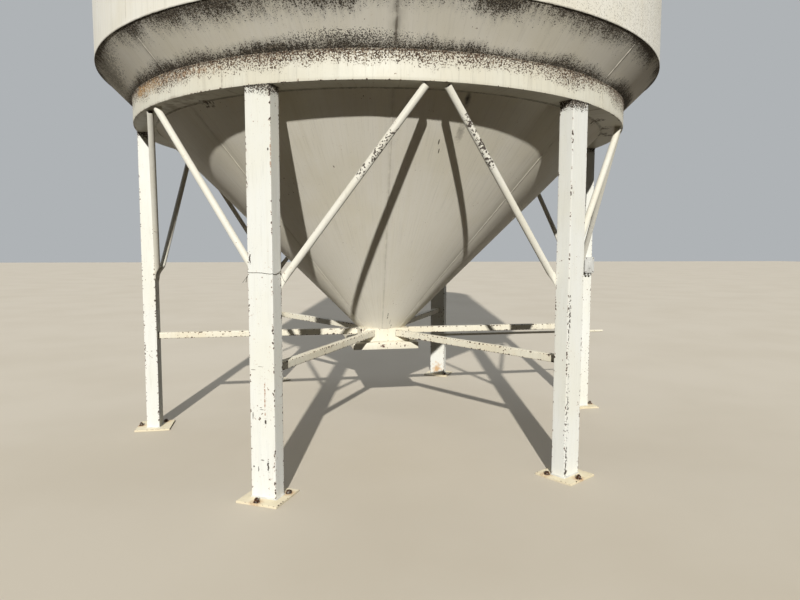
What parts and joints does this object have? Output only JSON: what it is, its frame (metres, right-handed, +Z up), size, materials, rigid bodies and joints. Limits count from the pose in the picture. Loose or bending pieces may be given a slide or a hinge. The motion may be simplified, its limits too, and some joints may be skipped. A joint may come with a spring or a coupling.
{
  "type": "grain silo",
  "caption": "Round welded steel silo with a hopper bottom on braced legs, a square outlet with a cranked slide gate and a cone roof.",
  "frame": {"origin": "on the ground, on the silo's vertical centre line", "axes": "+Z up along the silo's axis; +X towards the leg that carries the gate's crank shaft; +Y towards the back, the way the gate opens"},
  "size_m": [4.3697, 4.3274, 7.6367],
  "materials": {
    "cream_paint": "satin, weathered, with dark lichen and rust",
    "gate_steel": "bare, dull, worn by grain",
    "grey_enamel": "satin grey"
  },
  "bodies": {
    "silo": {"base_plate_1": "cream_paint", "base_plate_2": "cream_paint", "base_plate_3": "cream_paint", "base_plate_4": "cream_paint", "base_plate_5": "cream_paint", "base_plate_6": "cream_paint", "brace_1": "cream_paint", "brace_10": "cream_paint", "brace_11": "cream_paint", "brace_12": "cream_paint", "brace_2": "cream_paint", "brace_3": "cream_paint", "brace_4": "cream_paint", "brace_5": "cream_paint", "brace_6": "cream_paint", "brace_7": "cream_paint", "brace_8": "cream_paint", "brace_9": "cream_paint", "crank_bracket": "cream_paint", "fill_collar": "cream_paint", "fill_lid": "cream_paint", "gate_frame": "cream_paint", "hopper_gore_1": "cream_paint", "hopper_gore_2": "cream_paint", "hopper_gore_3": "cream_paint", "hopper_gore_4": "cream_paint", "hopper_gore_5": "cream_paint", "hopper_gore_6": "cream_paint", "hopper_gore_7": "cream_paint", "hopper_gore_8": "cream_paint", "leg_1": "cream_paint", "leg_2": "cream_paint", "leg_3": "cream_paint", "leg_4": "cream_paint", "leg_5": "cream_paint", "leg_6": "cream_paint", "outlet_collar": "cream_paint", "ring_segment_1": "cream_paint", "ring_segment_2": "cream_paint", "ring_segment_3": "cream_paint", "ring_segment_4": "cream_paint", "ring_segment_5": "cream_paint", "roof": "cream_paint", "strut_1": "cream_paint", "strut_2": "cream_paint", "strut_3": "cream_paint", "strut_4": "cream_paint", "strut_5": "cream_paint", "strut_6": "cream_paint", "switch_box": "grey_enamel", "wall_panel_1": "cream_paint", "wall_panel_2": "cream_paint", "wall_panel_3": "cream_paint", "wall_panel_4": "cream_paint"},
    "gate": {"gate_plate": "gate_steel"},
    "crank": {"crank_shaft": "cream_paint"}
  },
  "joints": [
    {"name": "crank_turn", "type": "hinge", "parent": "silo", "child": "crank", "pos_m": [0, 0.235, 0.657], "axis": [1, 0, 0], "range_deg": [0, 1145]},
    {"name": "gate_slide", "type": "slide", "parent": "silo", "child": "gate", "axis": [0, 1, 0], "range_m": [0, 0.4196]}
  ],
  "couplings": [
    {"joint": "crank_turn", "follows": "gate_slide", "rad_per_m": 47.619}
  ]
}
